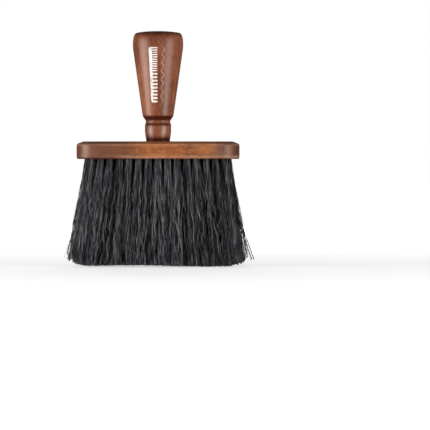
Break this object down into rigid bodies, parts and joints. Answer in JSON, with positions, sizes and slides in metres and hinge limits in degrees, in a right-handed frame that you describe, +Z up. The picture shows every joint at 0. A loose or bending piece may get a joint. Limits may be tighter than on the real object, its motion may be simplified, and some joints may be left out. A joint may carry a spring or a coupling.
{
  "type": "neck duster brush",
  "caption": "Neck duster brush with a tapered turned wooden handle on an oval wooden block set with flaring black hair tufts.",
  "frame": {"origin": "on the surface that the brush stands on, at its cut hair ends, under the middle of the block", "axes": "+Z up along the handle, +X along the block, +Y across the block"},
  "size_m": [0.1094, 0.0408, 0.1458],
  "materials": {
    "stained_wood": "satin",
    "hair": "satin",
    "anchor_wire": "satin",
    "screw_steel": "satin"
  },
  "bodies": {
    "root": {"anchors": "anchor_wire", "block": "stained_wood", "handle": "stained_wood", "handle_screw": "screw_steel", "tuft_inner_01": "hair", "tuft_inner_02": "hair", "tuft_inner_03": "hair", "tuft_inner_04": "hair", "tuft_inner_05": "hair", "tuft_inner_06": "hair", "tuft_inner_07": "hair", "tuft_inner_08": "hair", "tuft_inner_09": "hair", "tuft_inner_10": "hair", "tuft_inner_11": "hair", "tuft_inner_12": "hair", "tuft_inner_13": "hair", "tuft_inner_14": "hair", "tuft_inner_15": "hair", "tuft_inner_16": "hair", "tuft_inner_17": "hair", "tuft_inner_18": "hair", "tuft_inner_19": "hair", "tuft_inner_20": "hair", "tuft_middle_01": "hair", "tuft_middle_02": "hair", "tuft_middle_03": "hair", "tuft_middle_04": "hair", "tuft_outer_01": "hair", "tuft_outer_02": "hair", "tuft_outer_03": "hair", "tuft_outer_04": "hair", "tuft_outer_05": "hair", "tuft_outer_06": "hair", "tuft_outer_07": "hair", "tuft_outer_08": "hair", "tuft_outer_09": "hair", "tuft_outer_10": "hair", "tuft_outer_11": "hair", "tuft_outer_12": "hair", "tuft_outer_13": "hair", "tuft_outer_14": "hair", "tuft_outer_15": "hair", "tuft_outer_16": "hair", "tuft_outer_17": "hair", "tuft_outer_18": "hair", "tuft_outer_19": "hair", "tuft_outer_20": "hair", "tuft_outer_21": "hair", "tuft_outer_22": "hair", "tuft_outer_23": "hair", "tuft_outer_24": "hair", "tuft_outer_25": "hair", "tuft_outer_26": "hair", "tuft_outer_27": "hair", "tuft_outer_28": "hair", "tuft_outer_29": "hair", "tuft_outer_30": "hair", "tuft_outer_31": "hair", "tuft_outer_32": "hair"}
  },
  "joints": []
}
